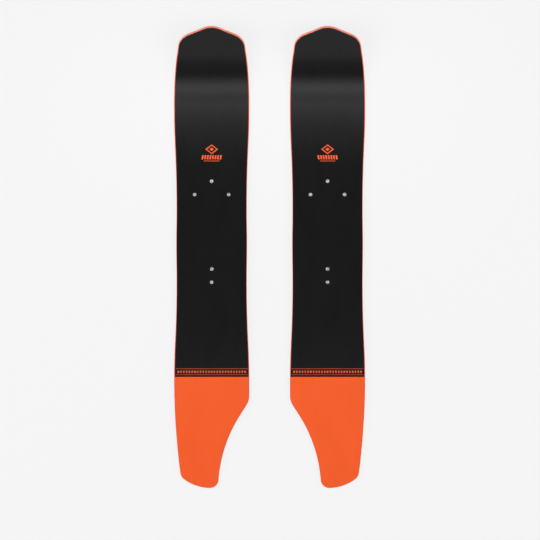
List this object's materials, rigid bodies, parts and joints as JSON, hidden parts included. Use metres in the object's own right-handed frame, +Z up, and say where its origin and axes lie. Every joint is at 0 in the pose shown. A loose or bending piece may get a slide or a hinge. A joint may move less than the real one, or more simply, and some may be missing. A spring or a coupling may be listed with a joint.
{
  "type": "pair of approach skis",
  "caption": "Mirror-image pair of short wide approach skis with upturned noses, cut-away tails and threaded inserts for touring brackets.",
  "frame": {"origin": "midway between the two skis, at the middle of their length, on the plane both running bases rest on", "axes": "+Y along the skis toward the upturned tips, +Z up, +X from the left ski to the right ski"},
  "size_m": [0.406, 0.98, 0.0662],
  "materials": {
    "base_polyethylene": "stone-ground sintered polyethylene",
    "edge_steel": "ground steel",
    "edge_rubber": "matte",
    "glass_laminate": "epoxy and glass fibre",
    "wood_core": "raw poplar and paulownia strips",
    "orange_abs": "machined ABS",
    "black_topsheet": "satin",
    "orange_topsheet": "satin",
    "insert_steel": "turned stainless steel"
  },
  "bodies": {
    "left_ski": {"left_base": "base_polyethylene", "left_edge_inner": "edge_steel", "left_edge_outer": "edge_steel", "left_rubber_inner": "edge_rubber", "left_rubber_outer": "edge_rubber", "left_lower_laminate": "glass_laminate", "left_core": "wood_core", "left_rail_inner": "orange_abs", "left_rail_outer": "orange_abs", "left_tip_spacer": "orange_abs", "left_tail_spacer": "orange_abs", "left_upper_laminate": "glass_laminate", "left_topsheet": "black_topsheet", "left_nose_sheet": "black_topsheet", "left_tail_panel": "orange_topsheet", "left_toe_inserts": "insert_steel", "left_heel_inserts": "insert_steel"},
    "right_ski": {"right_base": "base_polyethylene", "right_edge_inner": "edge_steel", "right_edge_outer": "edge_steel", "right_rubber_inner": "edge_rubber", "right_rubber_outer": "edge_rubber", "right_lower_laminate": "glass_laminate", "right_core": "wood_core", "right_rail_inner": "orange_abs", "right_rail_outer": "orange_abs", "right_tip_spacer": "orange_abs", "right_tail_spacer": "orange_abs", "right_upper_laminate": "glass_laminate", "right_topsheet": "black_topsheet", "right_nose_sheet": "black_topsheet", "right_tail_panel": "orange_topsheet", "right_toe_inserts": "insert_steel", "right_heel_inserts": "insert_steel"}
  },
  "joints": [
    {"name": "stride", "type": "slide", "parent": "left_ski", "child": "right_ski", "axis": [0, 1, 0], "range_m": [-0.35, 0.35]}
  ]
}
